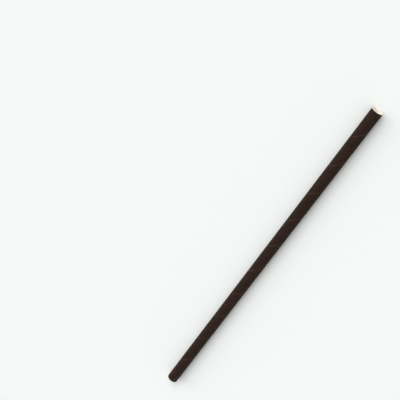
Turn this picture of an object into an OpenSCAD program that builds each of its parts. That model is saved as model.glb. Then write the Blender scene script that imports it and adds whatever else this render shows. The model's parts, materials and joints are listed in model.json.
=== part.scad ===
// Paper drinking straw, wound from three plies of paper and cut square.
// It lies along X as it comes to rest, with its drinking end towards +X and
// its lowest line at z = 0. The origin is under the middle of the straw.

/* [Straw] */
// Length from cut end to cut end
straw_length = 197; // [100:1:260]
// Outside diameter
straw_diameter = 6; // [4:0.5:12]

/* [Paper] */
// Thickness of the dark cover ply
cover_ply_thickness = 0.08; // [0.05:0.01:0.2]
// Thickness of the plain ply between the other two
middle_ply_thickness = 0.16; // [0.08:0.01:0.3]
// Thickness of the plain ply round the bore
liner_ply_thickness = 0.16; // [0.08:0.01:0.3]

/* [Winding] */
// Angle between a seam and the axis of the straw
winding_angle = 46; // [35:1:60]
// Width of a seam where it opens in a face of its ply
seam_width = 0.08; // [0.04:0.01:0.3]
// Turn of each ply's seam past the seam of the ply under it
seam_stagger = 120; // [60:5:300]
// Turn of the cover ply's seam at the tail end, from the lowest line of the straw
seam_start = 163.5; // [0:0.5:359.5]

/* [Hidden] */
$fn = 96;

// Radii of the faces where one ply is glued on the next
cover_radius = straw_diameter / 2;
middle_radius = cover_radius - cover_ply_thickness;
liner_radius = middle_radius - middle_ply_thickness;
bore_radius = liner_radius - liner_ply_thickness;

// All plies advance together, so one turn takes the same length in each
lead = PI * straw_diameter / tan(winding_angle);

// The edges of a strip are glued together in the middle third of its thickness,
// and their corners leave a groove this deep in each face, as a share of the ply
groove_share = 1 / 3;

// Cuts run this far past the faces that they open
overcut = 0.1;

// A groove follows its helix in straight steps, which stray from it by this much
helix_error = 0.013;
steps_per_turn = ceil(180 / acos(1 - 2 * helix_error / cover_radius));
step_turn = 360 / steps_per_turn;
step_length = lead / steps_per_turn;

// The steps begin a whole number of them before the tail end
lead_in = ceil(overcut / step_length);
groove_steps = lead_in + ceil((straw_length + overcut) / step_length);

// Corners lie just outside the helix, so that the steps stray evenly to both sides
corner_scale = 2 / (1 + cos(step_turn / 2));

// Section of a groove, square to the axis: a wedge from its root out past the face
module groove_section(face, root) {
    open = face + sign(face - root) * overcut;
    spread = seam_width / cos(winding_angle) / 2 * (open - root) / (face - root);
    scale(corner_scale)
        polygon([[root, 0], [open, -spread], [open, spread]]);
}

// Right-handed helical groove that runs out at both ends
module groove(face, root, turn) {
    translate([0, 0, -lead_in * step_length])
        rotate(turn - lead_in * step_turn)
            linear_extrude(
                height = groove_steps * step_length,
                twist = -groove_steps * step_turn,
                slices = groove_steps, segments = 3
            )
                groove_section(face, root);
}

// One strip wound edge to edge into a tube between two radii
module wound_ply(outer, inner, turn) {
    depth = (outer - inner) * groove_share;
    translate([-straw_length / 2, 0, cover_radius])
        rotate([0, 90, 0])
            difference() {
                cylinder(h = straw_length, r = outer);
                translate([0, 0, -overcut])
                    cylinder(h = straw_length + 2 * overcut, r = inner);
                groove(outer, outer - depth, turn);
                groove(inner, inner + depth, turn);
            }
}

module cover_ply() {
    color("#2f2522")
        wound_ply(cover_radius, middle_radius, seam_start);
}

module middle_ply() {
    color("#e6ddc6")
        wound_ply(middle_radius, liner_radius, seam_start - seam_stagger);
}

module liner_ply() {
    color("#efe8d4")
        wound_ply(liner_radius, bore_radius, seam_start - 2 * seam_stagger);
}

cover_ply();
middle_ply();
liner_ply();
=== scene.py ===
"""Paper drinking straw on a pale floor: three plies of paper, wound and cut square.

Each ply starts as a plain tube. It is slit along its lowest line, pressed in
along its creases, cut into short rings, given its thickness and then twisted, so
that the slit becomes the seam that runs round the straw.
"""

import json
import logging
import math
from abc import ABC, abstractmethod
from dataclasses import dataclass
from enum import Enum
from typing import Any, Callable, Mapping, Sequence

import bmesh
import bpy
from mathutils import Matrix, Vector


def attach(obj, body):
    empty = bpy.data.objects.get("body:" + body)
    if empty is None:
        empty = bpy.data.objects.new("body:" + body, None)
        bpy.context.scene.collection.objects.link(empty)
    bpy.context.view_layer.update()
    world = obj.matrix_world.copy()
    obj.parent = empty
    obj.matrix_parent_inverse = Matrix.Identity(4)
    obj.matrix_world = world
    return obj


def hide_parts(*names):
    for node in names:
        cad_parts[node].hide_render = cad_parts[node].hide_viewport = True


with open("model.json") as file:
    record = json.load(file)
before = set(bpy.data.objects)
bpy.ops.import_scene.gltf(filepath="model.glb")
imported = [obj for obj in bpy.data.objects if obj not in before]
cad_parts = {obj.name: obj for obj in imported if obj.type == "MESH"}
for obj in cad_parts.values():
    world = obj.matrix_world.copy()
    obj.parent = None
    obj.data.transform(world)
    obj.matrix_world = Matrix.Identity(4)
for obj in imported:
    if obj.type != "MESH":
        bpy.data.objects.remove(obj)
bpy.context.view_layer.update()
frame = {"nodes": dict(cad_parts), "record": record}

LOG = logging.getLogger("straw")
MM = 0.001

Triple = tuple[float, float, float]
Range = tuple[float, float]
Colour = Triple


def shown(red: int, green: int, blue: int) -> Colour:
    """Turns a colour as a screen shows it, 0 to 255, into its light by the sRGB curve."""
    parts = (red / 255, green / 255, blue / 255)
    return tuple(p / 12.92 if p <= 0.04045 else ((p + 0.055) / 1.055) ** 2.4 for p in parts)


def radius_of(node: str) -> float:
    """The furthest that a CAD ply's corners lie from the axis, to the micron."""
    corners = [corner.co for corner in frame["nodes"][node].data.vertices]
    return round(max(math.hypot(at.y, at.z - AXIS_HEIGHT) for at in corners), 6)


# The straw's sizes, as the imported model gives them
MOUNTS = {mount["name"]: mount for mount in frame["record"]["mounts"]}
AXIS_HEIGHT = MOUNTS["outside"]["pos_m"][2]
LENGTH = MOUNTS["outside"]["dims"]["length_mm"] * MM
OUTSIDE_RADIUS = MOUNTS["outside"]["dims"]["r_mm"] * MM
MIDDLE_RADIUS = radius_of("middle_ply")
LINER_RADIUS = radius_of("liner_ply")
BORE_RADIUS = MOUNTS["bore"]["dims"]["r_mm"] * MM

# The winding, as the source of the CAD model sets it: the angle of a seam to the axis,
# and, in degrees, the turn of the cover's seam at the tail end and the turn from one
# ply's seam to the next
WINDING = math.radians(46)
SEAM_START = 163.5
SEAM_STAGGER = 120.0
LEAD = 2 * math.pi * OUTSIDE_RADIUS / math.tan(WINDING)

# Points whose turns about the axis differ by less, in degrees, lie on one line
SAME_TURN = 0.02

# The name of the map that says where a point lies on the flat strip of paper
STRIP_MAP = "strip"

# How strongly the finer layers of all noise show
NOISE_ROUGHNESS = 0.55

# The places of a Mix node's sockets where it mixes colours
MIX_SHARE, MIX_FIRST, MIX_SECOND, MIX_RESULT = 0, 6, 7, 2


class Face(Enum):
    """The faces of a ply, by the place of their material on the piece."""

    OUTSIDE = 0
    INSIDE = 1
    CUT_EDGE = 2


class Axis(Enum):
    """The coordinates of a point, by their place in a vector."""

    X = 0
    Y = 1
    Z = 2


class Element(Enum):
    """What is selected in edit mode, with the name of its list in the mesh."""

    VERT = "verts"
    EDGE = "edges"
    FACE = "faces"


class Sum(Enum):
    """The sums that nodes do, with Blender's names for them."""

    PLUS = "ADD"
    MINUS = "SUBTRACT"
    TIMES = "MULTIPLY"
    SIZE = "ABSOLUTE"
    ROOT = "SQRT"
    LEAST = "MINIMUM"
    MOST = "MAXIMUM"


class Value:
    """A number that a node gives, for use in ordinary sums."""

    def __init__(self, nodes: "Nodes", socket: bpy.types.NodeSocket) -> None:
        """Keeps the socket and the nodes that it is one of."""
        self.nodes = nodes
        self.socket = socket

    def __add__(self, other: "Number") -> "Value":
        """Self plus other."""
        return self.nodes.sum_of(Sum.PLUS, self, other)

    def __radd__(self, other: "Number") -> "Value":
        """Other plus self."""
        return self.nodes.sum_of(Sum.PLUS, other, self)

    def __sub__(self, other: "Number") -> "Value":
        """Self minus other."""
        return self.nodes.sum_of(Sum.MINUS, self, other)

    def __rsub__(self, other: "Number") -> "Value":
        """Other minus self."""
        return self.nodes.sum_of(Sum.MINUS, other, self)

    def __mul__(self, other: "Number") -> "Value":
        """Self times other."""
        return self.nodes.sum_of(Sum.TIMES, self, other)

    def __rmul__(self, other: "Number") -> "Value":
        """Other times self."""
        return self.nodes.sum_of(Sum.TIMES, other, self)

    def __abs__(self) -> "Value":
        """Self without its sign."""
        return self.nodes.sum_of(Sum.SIZE, self)

    def root(self) -> "Value":
        """The square root of self."""
        return self.nodes.sum_of(Sum.ROOT, self)

    def least(self, other: "Number") -> "Value":
        """The smaller of self and other."""
        return self.nodes.sum_of(Sum.LEAST, self, other)

    def most(self, other: "Number") -> "Value":
        """The larger of self and other."""
        return self.nodes.sum_of(Sum.MOST, self, other)

    def centred(self) -> "Value":
        """Self from -0.5 to 0.5, where it went from 0 to 1."""
        return self - 0.5

    def blended(self, other: "Value", share: float = 0.5) -> "Value":
        """Self and other added up by their shares, which make 1."""
        return self * share + other * (1 - share)

    def rise(self, low: float, high: float) -> "Value":
        """Turns self into a soft step.

        Args:
            low: Where the step begins.
            high: Where it ends, which may also be below low.

        Returns:
            The step, which goes smoothly from 0 to 1 as self goes from low to high.
        """
        settings = {"interpolation_type": "SMOOTHSTEP", "clamp": True}
        sockets = {"Value": self, "From Min": low, "From Max": high}
        return self.nodes.value("ShaderNodeMapRange", settings, sockets)


Number = Value | float


class Nodes:
    """The nodes of a material or of the world."""

    def __init__(self, owner: bpy.types.Material | bpy.types.World) -> None:
        """Gives the owner nodes, with none in place yet.

        Args:
            owner: The material or the world.
        """
        owner.use_nodes = True
        self.tree = owner.node_tree
        self.tree.nodes.clear()

    def node(
        self,
        kind: str,
        settings: Mapping[str, Any] | None = None,
        sockets: Mapping[str | int, Any] | None = None,
    ) -> bpy.types.Node:
        """Adds a node.

        Args:
            kind: The type of the node.
            settings: What the node itself is set to, which comes first.
            sockets: The value or link of each input, by its name or place.

        Returns:
            The node.
        """
        made = self.tree.nodes.new(kind)
        for key, value in (settings or {}).items():
            setattr(made, key, value)
        for key, value in (sockets or {}).items():
            if isinstance(value, Value):
                value = value.socket
            if isinstance(value, bpy.types.NodeSocket):
                self.tree.links.new(value, made.inputs[key])
            elif isinstance(value, tuple) and made.inputs[key].type == "RGBA":
                made.inputs[key].default_value = (*value, 1.0)
            else:
                made.inputs[key].default_value = value
        return made

    def value(
        self,
        kind: str,
        settings: Mapping[str, Any] | None = None,
        sockets: Mapping[str | int, Any] | None = None,
    ) -> Value:
        """Adds a node, as node() does, for the number that it gives first."""
        return Value(self, self.node(kind, settings, sockets).outputs[0])

    def sum_of(self, operation: Sum, *terms: Number) -> Value:
        """One sum on one or two numbers."""
        return self.value("ShaderNodeMath", {"operation": operation.value}, dict(enumerate(terms)))


class Shader(Nodes):
    """The nodes of one material."""

    def __init__(self, name: str) -> None:
        """Makes a material of that name, with no nodes yet."""
        self.material = bpy.data.materials.new(name)
        super().__init__(self.material)

    def part(self, vector: bpy.types.NodeSocket, axis: Axis) -> Value:
        """One coordinate of a vector."""
        parts = self.node("ShaderNodeSeparateXYZ", sockets={0: vector})
        return Value(self, parts.outputs[axis.value])

    def stretched(self, vector: bpy.types.NodeSocket, scale: Triple) -> bpy.types.NodeSocket:
        """A vector with each coordinate multiplied by its own scale."""
        made = self.node("ShaderNodeVectorMath", {"operation": "MULTIPLY"}, {0: vector, 1: scale})
        return made.outputs[0]

    def noise(self, vector: bpy.types.NodeSocket, size: float, detail: float) -> Value:
        """Adds soft noise.

        Args:
            vector: The place that it is read at.
            size: About how large its lumps are.
            detail: How many finer layers it has.

        Returns:
            The noise, from 0 to 1.
        """
        sockets = {"Vector": vector, "Scale": 1 / size, "Detail": detail}
        sockets["Roughness"] = NOISE_ROUGHNESS
        return self.value("ShaderNodeTexNoise", {"noise_dimensions": "3D"}, sockets)

    def mix(
        self,
        share: Number,
        first: Colour | bpy.types.NodeSocket,
        second: Colour | bpy.types.NodeSocket,
    ) -> bpy.types.NodeSocket:
        """The first colour, which turns into the second as share goes from 0 to 1."""
        sockets = {MIX_SHARE: share, MIX_FIRST: first, MIX_SECOND: second}
        return self.node("ShaderNodeMix", {"data_type": "RGBA"}, sockets).outputs[MIX_RESULT]

    def strip_place(self) -> bpy.types.NodeSocket:
        """The place on the flat strip in metres: X across it from one edge, Y along it."""
        return self.node("ShaderNodeUVMap", {"uv_map": STRIP_MAP}).outputs[0]

    def object_place(self) -> bpy.types.NodeSocket:
        """The place in the straw's own coordinates, in metres."""
        return self.node("ShaderNodeTexCoord").outputs["Object"]

    def from_end(self, place: bpy.types.NodeSocket) -> Value:
        """How far a place in the straw's own coordinates is from the nearer cut end."""
        return LENGTH / 2 - abs(self.part(place, Axis.X))

    def finish(self, **surface: Any) -> bpy.types.Material:
        """Adds the surface and gives back the material.

        Args:
            surface: The value or link of each input, with _ for each space in its name.

        Returns:
            The material.
        """
        sockets = {key.replace("_", " "): value for key, value in surface.items()}
        made = self.node("ShaderNodeBsdfPrincipled", sockets=sockets)
        self.node("ShaderNodeOutputMaterial", sockets={"Surface": made.outputs[0]})
        return self.material


@dataclass(frozen=True)
class Paper(ABC):
    """What all paper has: cloudy pulp, fine grain, and fibres that lie along the strip.

    Attributes:
        name: The name of its material.
        roughness: Its roughness, on average.
        shine: Its specular level.
        cloud_size: How large the clouds in it are.
        cloud_detail: How many finer layers the clouds have.
        grain_size: How large its grain is.
        grain_detail: How many finer layers the grain has.
        fibre_width: How wide a fibre is.
        fibre_length: How long a fibre is.
        fibre_detail: How many finer layers the fibres have.
        bump_depth: How high its relief is.
        bump_strength: How much of that relief shows.
    """

    name: str
    roughness: float = 0.7
    shine: float = 0.08
    cloud_size: float = 2.2 * MM
    cloud_detail: float = 3.0
    grain_size: float = 0.16 * MM
    grain_detail: float = 2.0
    fibre_width: float = 0.05 * MM
    fibre_length: float = 0.9 * MM
    fibre_detail: float = 3.0
    bump_depth: float = 0.012 * MM
    bump_strength: float = 0.5

    @abstractmethod
    def material(self) -> bpy.types.Material:
        """Makes the material."""

    def clouds(self, shader: Shader, place: bpy.types.NodeSocket) -> Value:
        """The clouds in the pulp, from 0 to 1."""
        return shader.noise(place, self.cloud_size, self.cloud_detail)

    def grain(self, shader: Shader, place: bpy.types.NodeSocket) -> Value:
        """The grain of the paper, from 0 to 1."""
        return shader.noise(place, self.grain_size, self.grain_detail)

    def fibres(self, shader: Shader) -> Value:
        """Draws noise out along the strip, as the fibres lie.

        Args:
            shader: The shader that they are for.

        Returns:
            The fibres, from 0 to 1.
        """
        slim = self.fibre_length / self.fibre_width
        along = shader.stretched(shader.strip_place(), (slim, 1.0, 1.0))
        return shader.noise(along, self.fibre_length, self.fibre_detail)

    def relief(self, shader: Shader, height: Value) -> bpy.types.NodeSocket:
        """The normal of a surface that has a relief, with its height from 0 to 1."""
        sockets = {"Strength": self.bump_strength, "Distance": self.bump_depth, "Height": height}
        return shader.node("ShaderNodeBump", sockets=sockets).outputs[0]


@dataclass(frozen=True)
class PrintedPaper(Paper):
    """The dark outside of the cover ply: an even print, worn pale along its edges, with a painted
    highlight along the seam.

    Attributes:
        dark: The darker colour of the print.
        light: The lighter colour of the print.
        fibre: The colour of the fibres that show in it.
        rubbed_and_highlight: The colour where the print is worn off, which along the seam also
            stands as a painted highlight on its raised edges.
        cloudy: The range of the clouds and grain over which dark turns to light.
        fibrous: The range of the fibres over which they show.
        fibre_share: How strongly they show.
        strip_width: The width of the strip of paper.
        rub_and_highlight_width: How far from the seam the worn print and its painted highlight
            reach.
        worn_end: How far from a cut end the print is worn off.
        lifted_end: How far from a cut end the edges of the strip stand up, with more worn print
            and painted highlight.
        seam_rub_and_highlight: How much print is worn off along the seam, with a painted highlight
            on its raised edges.
        lifted_rub_and_highlight: How much more worn print and painted highlight there is where the
            edges stand up.
        end_rub: How much print is worn off round the cut ends.
        cloud_roughness: How much the roughness changes with the clouds.
        fibre_roughness: How much it changes with the fibres.
        rubbed_roughness: How much rougher the paper is under the worn print and painted highlight.
        fibre_relief: The share of the fibres in the relief, where the rest is grain.
    """

    dark: Colour = shown(33, 21, 15)
    light: Colour = shown(46, 31, 24)
    fibre: Colour = shown(68, 51, 42)
    # Paler colour for worn print, also used as a painted highlight along the seam
    rubbed_and_highlight: Colour = shown(116, 96, 80)
    cloudy: Range = (0.38, 0.62)
    fibrous: Range = (0.52, 0.7)
    fibre_share: float = 0.55
    strip_width: float = LEAD * math.sin(WINDING)
    rub_and_highlight_width: float = 0.14 * MM
    worn_end: float = 0.16 * MM
    lifted_end: float = 5 * MM
    seam_rub_and_highlight: float = 0.45
    lifted_rub_and_highlight: float = 0.35
    end_rub: float = 0.4
    cloud_roughness: float = 0.16
    fibre_roughness: float = 0.1
    rubbed_roughness: float = 0.1
    fibre_relief: float = 0.6

    def rubbing_and_highlight(self, shader: Shader, place: bpy.types.NodeSocket, grain: Value) -> Value:
        """Finds where the print is worn off, and where a highlight is painted along the seam.

        Args:
            shader: The shader that it is for.
            place: The place in the straw's own coordinates.
            grain: The grain of the paper, which makes the mark ragged.

        Returns:
            How strongly the worn print and the painted highlight show, from 0 to 1.
        """
        ragged = grain.centred() * self.rub_and_highlight_width
        across = shader.part(shader.strip_place(), Axis.X)
        from_seam = across.least(self.strip_width - across)
        from_end = shader.from_end(place)
        # Along the seam the print is worn, and a highlight is painted where the raised edges would
        # catch light
        seam = (from_seam + ragged).rise(self.rub_and_highlight_width, 0.0)
        end = (from_end + ragged).rise(self.worn_end, 0.0)
        lifted = from_end.rise(self.lifted_end, 0.0)
        return seam * (lifted * self.lifted_rub_and_highlight + self.seam_rub_and_highlight) + end * (1 - seam) * self.end_rub

    def material(self) -> bpy.types.Material:
        """Makes the material.

        Returns:
            The material.
        """
        shader = Shader(self.name)
        place = shader.object_place()
        clouds = self.clouds(shader, place)
        grain = self.grain(shader, place)
        fibres = self.fibres(shader)
        rubbing_and_highlight = self.rubbing_and_highlight(shader, place, grain)
        ink = shader.mix(clouds.blended(grain).rise(*self.cloudy), self.dark, self.light)
        ink = shader.mix(fibres.rise(*self.fibrous) * self.fibre_share, ink, self.fibre)
        # Worn print, and along the seam a painted highlight, in one paler colour
        ink = shader.mix(rubbing_and_highlight, ink, self.rubbed_and_highlight)
        rough = self.roughness + clouds.centred() * self.cloud_roughness
        rough += fibres.centred() * self.fibre_roughness + rubbing_and_highlight * self.rubbed_roughness
        return shader.finish(
            Base_Color=ink,
            Roughness=rough,
            Specular_IOR_Level=self.shine,
            Normal=self.relief(shader, fibres.blended(grain, self.fibre_relief)),
        )


@dataclass(frozen=True)
class PlainPaper(Paper):
    """Unprinted paper: cream, a little cloudy, with darker flecks of pulp.

    Attributes:
        pale: The paler colour of the pulp.
        deep: The deeper colour of the pulp.
        fleck: The colour of the flecks.
        cloudy: The range of the clouds and fibres over which deep turns to pale.
        cloud_share: The share of the clouds in that, where the rest is fibres.
        fleck_size: How large the noise is that the flecks are the peaks of.
        fleck_detail: How many finer layers that noise has.
        flecked: The range of that noise over which the flecks show.
        fleck_share: How strongly they show.
        fibre_roughness: How much the roughness changes with the fibres.
    """

    cloud_size: float = 1.32 * MM
    pale: Colour = shown(254, 250, 243)
    deep: Colour = shown(247, 239, 227)
    fleck: Colour = shown(196, 172, 142)
    cloudy: Range = (0.3, 0.7)
    cloud_share: float = 0.6
    fleck_size: float = 0.3 * MM
    fleck_detail: float = 1.0
    flecked: Range = (0.7, 0.78)
    fleck_share: float = 0.35
    fibre_roughness: float = 0.12

    def material(self) -> bpy.types.Material:
        """Makes the material.

        Returns:
            The material.
        """
        shader = Shader(self.name)
        place = shader.object_place()
        clouds = self.clouds(shader, place)
        grain = self.grain(shader, place)
        fibres = self.fibres(shader)
        flecks = shader.noise(place, self.fleck_size, self.fleck_detail).rise(*self.flecked)
        cloudy = clouds.blended(fibres, self.cloud_share).rise(*self.cloudy)
        pulp = shader.mix(cloudy, self.deep, self.pale)
        pulp = shader.mix(flecks * self.fleck_share, pulp, self.fleck)
        return shader.finish(
            Base_Color=pulp,
            Roughness=self.roughness + fibres.centred() * self.fibre_roughness,
            Specular_IOR_Level=self.shine,
            Normal=self.relief(shader, fibres.blended(grain)),
        )


@dataclass(frozen=True)
class CutPaper(Paper):
    """The edge that the knife leaves: open pulp, stained where ink or glue reached it, with
    painted shade on the edges inside the seam slit.

    Attributes:
        core: The colour of the pulp.
        shade: Its colour in the hollows.
        stain: The colour of the ink or glue.
        seam: The colour of the strip's edges inside the seam, away from the cut ends: painted
            shade.
        shaded: The range of the grain and clouds over which core turns to shade.
        shade_share: How strongly the shade shows.
        stain_radius: How far from the axis the stain lies.
        stain_depth: How far it spreads to each side.
        stain_share: How strongly it shows.
        seam_depth: The range behind a cut end over which core turns to seam.
        grain_roughness: How much the roughness changes with the grain.
    """

    cloud_size: float = 0.7 * MM
    cloud_detail: float = 2.0
    grain_size: float = 0.05 * MM
    grain_detail: float = 3.0
    core: Colour = shown(241, 236, 226)
    shade: Colour = shown(228, 216, 198)
    stain: Colour = shown(120, 96, 76)
    # Painted shade for the edges inside the seam slit
    seam: Colour = shown(186, 166, 138)
    shaded: Range = (0.66, 0.34)
    shade_share: float = 0.7
    stain_radius: float = OUTSIDE_RADIUS
    stain_depth: float = 0.02 * MM
    stain_share: float = 0.8
    seam_depth: Range = (0.02 * MM, 0.09 * MM)
    grain_roughness: float = 0.1

    def staining(self, shader: Shader, place: bpy.types.NodeSocket, grain: Value) -> Value:
        """Finds where ink or glue stains the edge.

        Args:
            shader: The shader that it is for.
            place: The place in the straw's own coordinates.
            grain: The grain of the pulp, which makes the stain ragged.

        Returns:
            How strong the stain is, from 0 to 1.
        """
        side = shader.part(place, Axis.Y)
        height = shader.part(place, Axis.Z) - AXIS_HEIGHT
        radius = (side * side + height * height).root()
        inside = self.stain_radius - radius + grain.centred() * self.stain_depth
        return abs(inside).rise(self.stain_depth, 0.0) * self.stain_share

    def material(self) -> bpy.types.Material:
        """Makes the material.

        Returns:
            The material.
        """
        shader = Shader(self.name)
        place = shader.object_place()
        clouds = self.clouds(shader, place)
        grain = self.grain(shader, place)
        hollows = grain.blended(clouds).rise(*self.shaded)
        pulp = shader.mix(hollows * self.shade_share, self.core, self.shade)
        pulp = shader.mix(self.staining(shader, place, grain), pulp, self.stain)
        # Painted shade on the edges inside the seam slit, away from the cut ends
        pulp = shader.mix(shader.from_end(place).rise(*self.seam_depth), pulp, self.seam)
        return shader.finish(
            Base_Color=pulp,
            Roughness=self.roughness + grain.centred() * self.grain_roughness,
            Specular_IOR_Level=self.shine,
            Normal=self.relief(shader, grain),
        )


def pick(piece: bpy.types.Object) -> None:
    """Makes a piece the active object and the only one selected.

    Args:
        piece: The piece, in object mode.
    """
    bpy.ops.object.select_all(action="DESELECT")
    bpy.context.view_layer.objects.active = piece
    piece.select_set(True)


def select(piece: bpy.types.Object, element: Element, wanted: Callable[[Any], bool]) -> None:
    """Selects in edit mode what passes a test, and nothing else.

    Args:
        piece: The piece, in edit mode.
        element: What is tested.
        wanted: The test.
    """
    bpy.ops.mesh.select_mode(type=element.name)
    bpy.ops.mesh.select_all(action="DESELECT")
    mesh = bmesh.from_edit_mesh(piece.data)
    for one in getattr(mesh, element.value):
        if wanted(one):
            one.select_set(True)
    mesh.select_flush_mode()
    bmesh.update_edit_mesh(piece.data)


def apply_modifier(piece: bpy.types.Object, kind: str, **settings: Any) -> None:
    """Adds a modifier to a piece and applies it.

    Args:
        piece: The piece, in object mode.
        kind: The type of the modifier.
        settings: What it is set to.
    """
    modifier = piece.modifiers.new(kind.title(), kind)
    for key, value in settings.items():
        setattr(modifier, key, value)
    bpy.context.view_layer.objects.active = piece
    bpy.ops.object.modifier_apply(modifier=modifier.name)


def turn_of(place: Vector) -> float:
    """The turn of a point about the axis, in degrees from the lowest line towards +Y."""
    return math.degrees(math.atan2(place.y, -place.z)) % 360


def apart(one: float, other: float) -> float:
    """How far apart two turns are, in degrees."""
    return abs((one - other + 180) % 360 - 180)


def reach(edge: bmesh.types.BMEdge) -> float:
    """How far an edge goes along the axis."""
    return abs(edge.verts[0].co.x - edge.verts[1].co.x)


@dataclass(frozen=True)
class Crease:
    """A line along which the paper is pressed in.

    Attributes:
        turn: Where it runs on the untwisted ply, in degrees from the slit.
        depth: How far it is pressed in, at most.
    """

    turn: float
    depth: float

    def depth_at(self, turn: float, width: float) -> float:
        """How far it presses in the paper at a turn, if it is felt over a width each way."""
        share = min(apart(turn, self.turn) / width, 1.0)
        return self.depth * (1 + math.cos(math.pi * share)) / 2


@dataclass
class Ply:
    """One strip of paper, wound edge to edge into a tube and cut square at both ends.

    Attributes:
        name: The name of the piece.
        node: The CAD node that it stands for.
        slot: The record's material slot for it; not used.
        outer_radius: The radius of its outside face.
        inner_radius: The radius of the next ply inside it, or of the bore.
        seam_start: The turn of its seam at the tail end, in degrees from the lowest line.
        outside: The finish of its outside face.
        inside: The finish of its inside face.
        cut_edge: The finish of its edges.
        creases: The lines along which it is pressed in.
        columns: How many columns of faces it has round it.
        fine_cuts: How many more cuts a column beside the slit or a crease gets.
        first_cuts: How many cuts along its length come first.
        second_cuts: How many cuts each of those lengths then gets.
        long_share: The share of the present length over which an edge is cut again.
        slit_width: The gap between the edges of the strip.
        glue_gap: The room for glue between it and the next ply inside it.
        edge_radius: The radius of its rounded edges.
        edge_steps: How many faces such an edge has.
        edge_angle: The angle between faces over which an edge is rounded.
        smooth_angle: The angle between faces up to which they are shaded as one.
    """

    name: str
    node: str
    slot: str
    outer_radius: float
    inner_radius: float
    seam_start: float
    outside: Paper
    inside: Paper
    cut_edge: Paper
    creases: Sequence[Crease] = ()
    columns: int = 48
    fine_cuts: int = 3
    first_cuts: int = 19
    second_cuts: int = 25
    long_share: float = 0.9
    slit_width: float = 0.024 * MM
    glue_gap: float = 0.006 * MM
    edge_radius: float = 0.012 * MM
    edge_steps: int = 2
    edge_angle: float = math.radians(60)
    smooth_angle: float = math.radians(40)

    @property
    def column(self) -> float:
        """The width of one column of faces, in degrees."""
        return 360 / self.columns

    def tube(self) -> bpy.types.Object:
        """Adds a tube round the X axis, open at both ends, for the ply's outside face.

        Returns:
            The tube.
        """
        bpy.ops.object.select_all(action="DESELECT")
        bpy.ops.mesh.primitive_cylinder_add(
            vertices=self.columns,
            radius=self.outer_radius,
            depth=LENGTH,
            end_fill_type="NOTHING",
            calc_uvs=False,
            rotation=(0, math.pi / 2, 0),
        )
        piece = bpy.context.object
        piece.name = piece.data.name = self.name
        bpy.ops.object.transform_apply(location=True, rotation=True, scale=True)
        return piece

    def slit(self, piece: bpy.types.Object) -> None:
        """Opens the tube along its lowest line, where the two edges of the strip meet.

        Args:
            piece: The tube, in edit mode.
        """
        select(
            piece,
            Element.EDGE,
            lambda edge: all(apart(turn_of(end.co), 0) < SAME_TURN for end in edge.verts),
        )
        half = self.slit_width / math.cos(WINDING) / 2
        bpy.ops.mesh.bevel(offset=half, offset_type="OFFSET", segments=1, affect="EDGES")
        select(
            piece,
            Element.FACE,
            lambda face: apart(turn_of(face.calc_center_median()), 0) < SAME_TURN,
        )
        bpy.ops.mesh.delete(type="FACE")

    def refine(self, piece: bpy.types.Object) -> None:
        """Adds columns beside the slit and the creases, where the paper bends most.

        Args:
            piece: The slit tube, in edit mode.
        """
        lines = [0.0, *(crease.turn for crease in self.creases)]

        def beside(edge: bmesh.types.BMEdge) -> bool:
            """Tells if an edge lies across a column beside one of the lines.

            Args:
                edge: The edge.

            Returns:
                Whether it does.
            """
            middle = (edge.verts[0].co + edge.verts[1].co) / 2
            near = any(apart(turn_of(middle), line) < self.column for line in lines)
            return near and reach(edge) < LENGTH / 2

        select(piece, Element.EDGE, beside)
        bpy.ops.mesh.subdivide(number_cuts=self.fine_cuts)

    def press(self, piece: bpy.types.Object) -> None:
        """Puts all corners at the right radius, and presses the creases in.

        Args:
            piece: The slit tube, in edit mode.
        """
        corners = bmesh.from_edit_mesh(piece.data).verts
        for turn in sorted({round(turn_of(corner.co), 3) for corner in corners}):
            depth = sum(crease.depth_at(turn, self.column) for crease in self.creases)
            select(piece, Element.VERT, lambda vert: apart(turn_of(vert.co), turn) < SAME_TURN)
            at = next(vert.co for vert in bmesh.from_edit_mesh(piece.data).verts if vert.select)
            scale = (self.outer_radius - depth) / math.hypot(at.y, at.z)
            bpy.ops.transform.resize(value=(1, scale, scale), center_override=(0, 0, 0))

    def cut_lengths(self, piece: bpy.types.Object) -> None:
        """Cuts the tube into short rings, in two goes.

        Args:
            piece: The slit tube, in edit mode.
        """
        length = LENGTH
        for cuts in (self.first_cuts, self.second_cuts):
            limit = length * self.long_share
            select(piece, Element.EDGE, lambda edge: reach(edge) > limit)
            bpy.ops.mesh.subdivide(number_cuts=cuts)
            length /= cuts + 1

    def lay_out(self, piece: bpy.types.Object) -> None:
        """Writes on each corner its place on the flat strip, which the materials read.

        Args:
            piece: The slit tube, in object mode.
        """
        mesh = piece.data
        layer = mesh.uv_layers.new(name=STRIP_MAP)
        for loop in mesh.loops:
            place = mesh.vertices[loop.vertex_index].co
            arc = math.radians(turn_of(place)) * self.outer_radius
            across = arc * math.cos(WINDING)
            along = place.x / math.cos(WINDING) + arc * math.sin(WINDING)
            layer.uv[loop.index].vector = (across, along)

    def thicken(self, piece: bpy.types.Object) -> None:
        """Gives the strip its thickness and rounds its edges.

        Args:
            piece: The slit tube, in object mode.
        """
        apply_modifier(
            piece,
            "SOLIDIFY",
            thickness=self.outer_radius - self.inner_radius - self.glue_gap,
            offset=-1,
            use_even_offset=True,
            material_offset=Face.INSIDE.value,
            material_offset_rim=Face.CUT_EDGE.value,
        )
        apply_modifier(
            piece,
            "BEVEL",
            width=self.edge_radius,
            segments=self.edge_steps,
            limit_method="ANGLE",
            angle_limit=self.edge_angle,
        )

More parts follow.
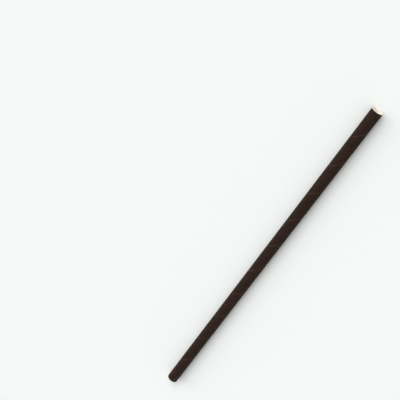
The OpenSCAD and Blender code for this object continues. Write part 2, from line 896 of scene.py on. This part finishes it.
    def wind(self, piece: bpy.types.Object) -> None:
        """Twists the tube until its slit is the seam, and puts it in its place.

        Args:
            piece: The slit tube with its thickness, in object mode.
        """
        twist = 2 * math.pi * LENGTH / LEAD
        apply_modifier(piece, "SIMPLE_DEFORM", deform_method="TWIST", deform_axis="X", angle=twist)
        apply_modifier(piece, "TRIANGULATE", quad_method="SHORTEST_DIAGONAL")
        piece.rotation_euler.x = math.radians(self.seam_start) + twist / 2
        piece.location.z = AXIS_HEIGHT
        pick(piece)
        bpy.ops.object.transform_apply(location=True, rotation=True, scale=True)
        bpy.ops.object.shade_smooth_by_angle(angle=self.smooth_angle)

    def build(self) -> bpy.types.Object:
        """Makes the ply and fits it in its place.

        Returns:
            The finished piece.
        """
        piece = self.tube()
        finishes = {
            Face.OUTSIDE: self.outside,
            Face.INSIDE: self.inside,
            Face.CUT_EDGE: self.cut_edge,
        }
        for face in Face:
            piece.data.materials.append(finishes[face].material())
        pick(piece)
        bpy.ops.object.mode_set(mode="EDIT")
        self.slit(piece)
        self.refine(piece)
        self.press(piece)
        self.cut_lengths(piece)
        bpy.ops.mesh.select_all(action="SELECT")
        bpy.ops.mesh.normals_make_consistent(inside=False)
        bpy.ops.object.mode_set(mode="OBJECT")
        self.lay_out(piece)
        self.thicken(piece)
        self.wind(piece)
        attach(piece, "root")
        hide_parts(self.node)
        return piece


@dataclass
class CoverPly(Ply):
    """The dark printed ply, with the seam of the ply under it just showing through."""

    name: str = "cover_strip"
    node: str = "cover_ply"
    slot: str = "dark_paper"
    outer_radius: float = OUTSIDE_RADIUS
    inner_radius: float = MIDDLE_RADIUS
    seam_start: float = SEAM_START
    outside: Paper = PrintedPaper("dark_print", roughness=0.62)
    inside: Paper = PlainPaper("cover_back")
    # The cover's edges inside its seam slit get a dark painted shade
    cut_edge: Paper = CutPaper("cover_cut_edge", seam=shown(96, 74, 60))
    creases: Sequence[Crease] = (Crease(0.0, 0.008 * MM), Crease(360 - SEAM_STAGGER, 0.005 * MM))
    glue_gap: float = 0.008 * MM


@dataclass
class MiddlePly(Ply):
    """The plain ply between the other two, which shows only in the cut ends and the seam."""

    name: str = "middle_strip"
    node: str = "middle_ply"
    slot: str = "plain_paper"
    outer_radius: float = MIDDLE_RADIUS
    inner_radius: float = LINER_RADIUS
    seam_start: float = SEAM_START - SEAM_STAGGER
    # The middle ply's outside is plain cream paper, painted brown here as painted shade, since it
    # shows only down the cover's seam slit
    outside: Paper = PlainPaper("middle_face", pale=shown(136, 117, 99), deep=shown(110, 92, 75))
    inside: Paper = PlainPaper("middle_back")
    cut_edge: Paper = CutPaper("middle_cut_edge", stain_radius=LINER_RADIUS)


@dataclass
class LinerPly(Ply):
    """The plain ply round the bore."""

    name: str = "liner_strip"
    node: str = "liner_ply"
    slot: str = "bore_paper"
    outer_radius: float = LINER_RADIUS
    inner_radius: float = BORE_RADIUS
    seam_start: float = SEAM_START - 2 * SEAM_STAGGER
    outside: Paper = PlainPaper("liner_back")
    inside: Paper = PlainPaper("bore_face")
    cut_edge: Paper = CutPaper("liner_cut_edge", stain_radius=LINER_RADIUS)
    slit_width: float = 0.05 * MM
    glue_gap: float = 0.0


@dataclass(frozen=True)
class Lamp:
    """A large soft lamp, so far away that it lights the whole floor evenly.

    Attributes:
        name: Its name.
        side: The direction that it lights from.
        level: The light that white paper facing it gives back, where 1 is white.
        spread: How wide it looks from the straw, in degrees.
    """

    name: str
    side: Triple
    level: float
    spread: float = 40.0

    def hang(self) -> None:
        """Puts the lamp in the scene."""
        data = bpy.data.lights.new(self.name, "SUN")
        data.energy = self.level * math.pi
        data.angle = math.radians(self.spread)
        lamp = bpy.data.objects.new(self.name, data)
        bpy.context.collection.objects.link(lamp)
        lamp.location = Vector(self.side)
        lamp.rotation_mode = "QUATERNION"
        lamp.rotation_quaternion = Vector(self.side).to_track_quat("Z", "Y")


@dataclass(frozen=True)
class Studio:
    """The floor, the light and the camera.

    Attributes:
        floor_size: The length of the floor's sides.
        floor_colour: The colour of the floor.
        backdrop_colour: The colour that is seen behind the floor.
        sky_colour: The colour of the even light from all round.
        sky_level: The strength of that light.
        lamps: The lamps.
        camera_place: Where the camera stands, in metres.
        camera_right: The direction that is right in the photo.
        camera_up: The direction that is up in the photo.
        camera_tilt: How far the camera is turned up from there.
        lens: The focal length of its lens, in millimetres.
        sensor: The width of its sensor, in millimetres.
        sight: The nearest and the furthest that it sees.
    """

    floor_size: float = 8.0
    floor_colour: Colour = shown(245, 248, 246)
    backdrop_colour: Colour = shown(246, 249, 247)
    sky_colour: Colour = (0.8, 0.8, 0.8)
    sky_level: float = 0.7
    lamps: tuple[Lamp, ...] = (
        Lamp("mouth_lamp", (0.70, 0.34, 0.63), 0.52),
        Lamp("side_lamp", (0.1, 0.85, 0.5), 0.24),
    )
    camera_place: Triple = (0.2026, 0.0, 0.3687)
    camera_right: Triple = (0.495, -0.789, -0.3645)
    camera_up: Triple = (0.7595, 0.596, -0.2595)
    camera_tilt: float = math.radians(-3.9)
    lens: float = 72.1
    sensor: float = 36.0
    sight: Range = (0.01, 20.0)

    def floor(self) -> None:
        """Lays the pale floor."""
        bpy.ops.object.select_all(action="DESELECT")
        bpy.ops.mesh.primitive_plane_add(size=self.floor_size)
        floor = bpy.context.object
        floor.name = "floor"
        shader = Shader("pale_floor")
        matte = shader.node("ShaderNodeBsdfDiffuse", sockets={"Color": self.floor_colour})
        shader.node("ShaderNodeOutputMaterial", sockets={"Surface": matte.outputs[0]})
        floor.data.materials.append(shader.material)

    def light(self) -> None:
        """Sets the even light from all round, the backdrop and the lamps."""
        world = bpy.data.worlds.new("studio")
        bpy.context.scene.world = world
        nodes = Nodes(world)
        even = {"Color": self.sky_colour, "Strength": self.sky_level}
        sky = nodes.node("ShaderNodeBackground", sockets=even)
        plain = {"Color": self.backdrop_colour}
        backdrop = nodes.node("ShaderNodeBackground", sockets=plain)
        rays = nodes.node("ShaderNodeLightPath").outputs
        share = Value(nodes, rays["Is Camera Ray"])
        for ray in ("Is Glossy Ray", "Is Transmission Ray"):
            share = share.most(Value(nodes, rays[ray]))
        both = {0: share, 1: sky.outputs[0], 2: backdrop.outputs[0]}
        mixed = nodes.node("ShaderNodeMixShader", sockets=both)
        nodes.node("ShaderNodeOutputWorld", sockets={"Surface": mixed.outputs[0]})
        for lamp in self.lamps:
            lamp.hang()

    def camera(self) -> None:
        """Sets the camera where the photo was taken from, tilted to take in the whole straw."""
        data = bpy.data.cameras.new("camera")
        data.lens = self.lens
        data.sensor_width = self.sensor
        data.clip_start, data.clip_end = self.sight
        camera = bpy.data.objects.new("camera", data)
        bpy.context.collection.objects.link(camera)
        right = Vector(self.camera_right).normalized()
        back = right.cross(Vector(self.camera_up)).normalized()
        turned = Matrix((right, back.cross(right), back)).transposed()
        turned = turned @ Matrix.Rotation(self.camera_tilt, 3, Axis.X.name)
        camera.matrix_world = Matrix.Translation(self.camera_place) @ turned.to_4x4()
        bpy.context.scene.camera = camera


def main() -> None:
    """Builds the straw and the studio."""
    logging.basicConfig(level=logging.INFO, format="%(name)s: %(message)s")
    for ply in (CoverPly(), MiddlePly(), LinerPly()):
        piece = ply.build()
        LOG.info(
            "%s: %d triangles, radius %.3f to %.3f mm",
            piece.name,
            len(piece.data.polygons),
            ply.inner_radius / MM,
            ply.outer_radius / MM,
        )
    studio = Studio()
    studio.floor()
    studio.light()
    studio.camera()
    bpy.context.scene.view_settings.view_transform = "Standard"


if __name__ == "__main__":
    main()
